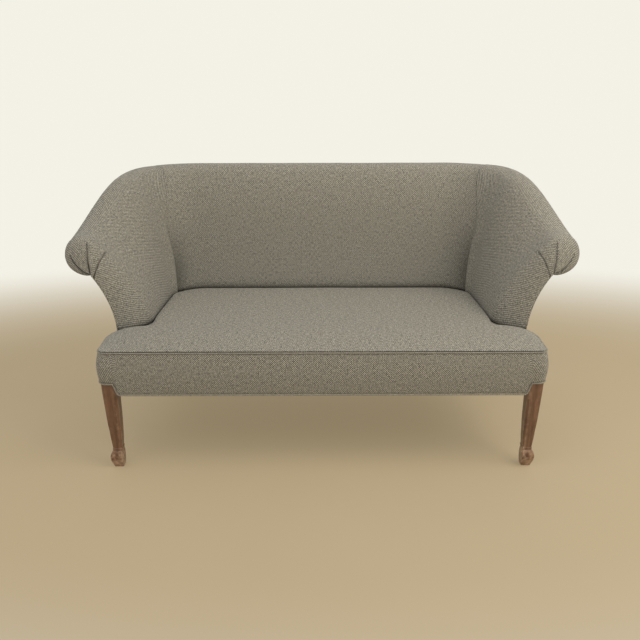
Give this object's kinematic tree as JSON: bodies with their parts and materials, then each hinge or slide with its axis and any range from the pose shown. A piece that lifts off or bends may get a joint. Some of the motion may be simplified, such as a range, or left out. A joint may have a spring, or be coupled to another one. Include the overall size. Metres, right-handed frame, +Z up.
{
  "type": "sofa",
  "caption": "Upholstered sofa with outward-rolled arms that sweep up into a rolled back, a tight sprung seat, piped edges and tapered wooden legs with carved toes.",
  "frame": {"origin": "on the floor, below the middle of the whole box", "axes": "+X along the length, to the viewer's right when seen from the front; +Y towards the back; +Z up. The sitter faces -Y."},
  "size_m": [1.6558, 0.7198, 0.8905],
  "materials": {
    "upholstery_fabric": "heathered basket weave, matt",
    "stained_wood": "brown stain under satin varnish",
    "beech": "planed, unfinished",
    "stuffing": "curled hair under wadding",
    "hessian": "coarse plain weave",
    "jute": "woven strip and twine",
    "steel": "drawn wire and zinc plate",
    "black_cloth": "thin plain cloth"
  },
  "bodies": {
    "root": {"front_rail": "beech", "back_rail": "beech", "side_rail_left": "beech", "side_rail_right": "beech", "seat_stretcher": "beech", "front_leg_left": "stained_wood", "front_leg_right": "stained_wood", "rear_leg_left": "stained_wood", "rear_leg_right": "stained_wood", "rear_corner_blocks": "beech", "front_corner_blocks": "beech", "corner_screws": "steel", "leg_bolts": "steel", "rail_dowels": "beech", "arm_stump_left": "beech", "arm_stump_right": "beech", "arm_top_rail_left": "beech", "arm_top_rail_right": "beech", "arm_tack_rail_left": "beech", "arm_tack_rail_right": "beech", "back_posts": "beech", "back_uprights": "beech", "crest_rail": "beech", "back_tack_rail": "beech", "seat_webbing": "jute", "seat_springs": "steel", "spring_twine": "jute", "seat_hessian": "hessian", "seat_stuffing": "stuffing", "seat_cover": "upholstery_fabric", "band_padding": "stuffing", "front_band": "upholstery_fabric", "seat_welt": "upholstery_fabric", "base_welt": "upholstery_fabric", "back_webbing": "jute", "back_hessian": "hessian", "back_stuffing": "stuffing", "inside_back": "upholstery_fabric", "outside_back": "upholstery_fabric", "arm_hessian_left": "hessian", "arm_hessian_right": "hessian", "arm_stuffing_left": "stuffing", "arm_stuffing_right": "stuffing", "inside_arm_left": "upholstery_fabric", "inside_arm_right": "upholstery_fabric", "outside_arm_left": "upholstery_fabric", "outside_arm_right": "upholstery_fabric", "dust_cover": "black_cloth", "dust_cover_tacks": "steel"}
  },
  "joints": []
}
